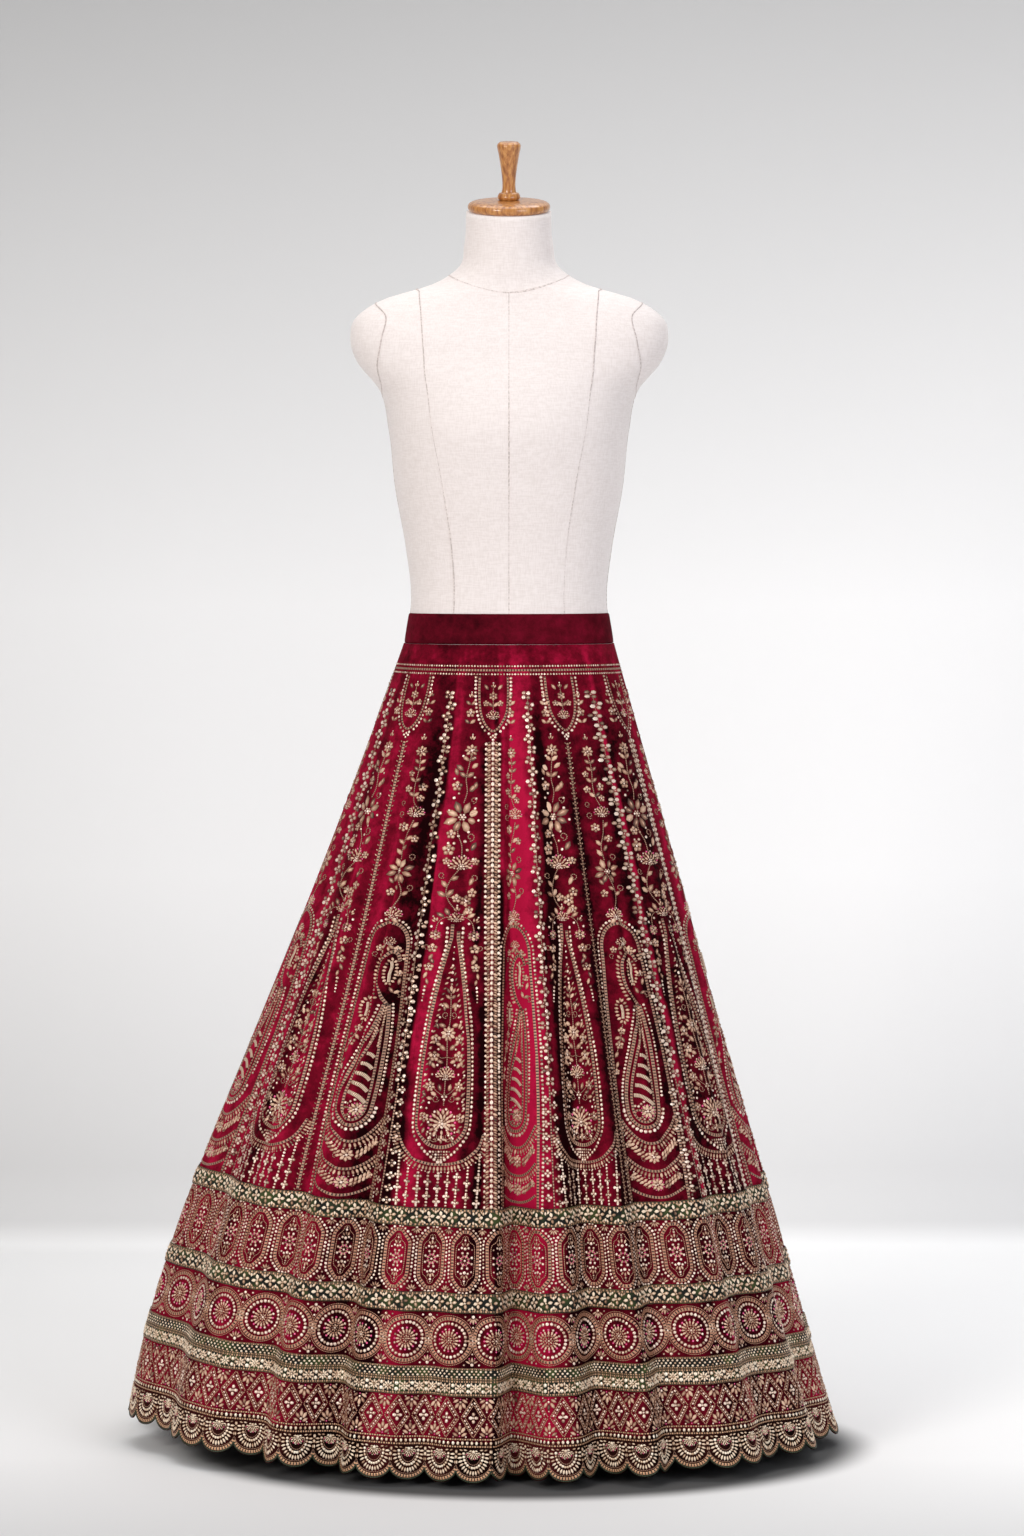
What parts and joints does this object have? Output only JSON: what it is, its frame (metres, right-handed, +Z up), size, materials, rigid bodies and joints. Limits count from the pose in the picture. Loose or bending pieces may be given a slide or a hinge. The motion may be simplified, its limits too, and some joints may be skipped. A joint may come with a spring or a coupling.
{
  "type": "lehenga skirt on a limbless dress form",
  "caption": "Flared, panelled velvet lehenga skirt with embroidered border bands and a scalloped hem, standing on a limbless dress form with pole and round base.",
  "frame": {"origin": "centre of the stand base's flat underside", "axes": "+Z up, the skirt's front faces -Y, the wearer's left is +X"},
  "size_m": [0.8663, 0.7213, 1.5851],
  "materials": {
    "crimson_velvet": "cotton-silk velvet, deep crimson pile",
    "embroidered_velvet": "velvet covered with metal-thread and bead embroidery",
    "olive_ribbon": "dark-green woven ribbon with metal thread",
    "gold_embroidery": "antique-gold thread, sequins and glass beads",
    "form_linen": "off-white linen over padding",
    "turned_teak": "turned and varnished",
    "black_enamel": "satin black enamel on steel"
  },
  "bodies": {
    "root": {"gore_01_paisley": "crimson_velvet", "gore_02_arch": "crimson_velvet", "gore_03_paisley": "crimson_velvet", "gore_04_arch": "crimson_velvet", "gore_05_paisley": "crimson_velvet", "gore_06_arch": "crimson_velvet", "gore_07_paisley": "crimson_velvet", "gore_08_arch": "crimson_velvet", "gore_09_paisley": "crimson_velvet", "gore_10_arch": "crimson_velvet", "gore_11_paisley": "crimson_velvet", "gore_12_arch": "crimson_velvet", "gore_13_paisley": "crimson_velvet", "gore_14_arch": "crimson_velvet", "gore_15_paisley": "crimson_velvet", "gore_16_arch": "crimson_velvet", "gore_17_paisley": "crimson_velvet", "gore_18_arch": "crimson_velvet", "belt": "crimson_velvet", "border_1": "embroidered_velvet", "border_2": "embroidered_velvet", "border_3": "embroidered_velvet", "tape_top": "olive_ribbon", "tape_middle": "olive_ribbon", "tape_dotted": "olive_ribbon", "tape_flowered": "olive_ribbon", "scalloped_hem": "gold_embroidery", "form_torso": "form_linen", "neck_cap": "turned_teak", "neck_finial": "turned_teak", "stand_pole": "black_enamel", "stand_base": "black_enamel"}
  },
  "joints": []
}
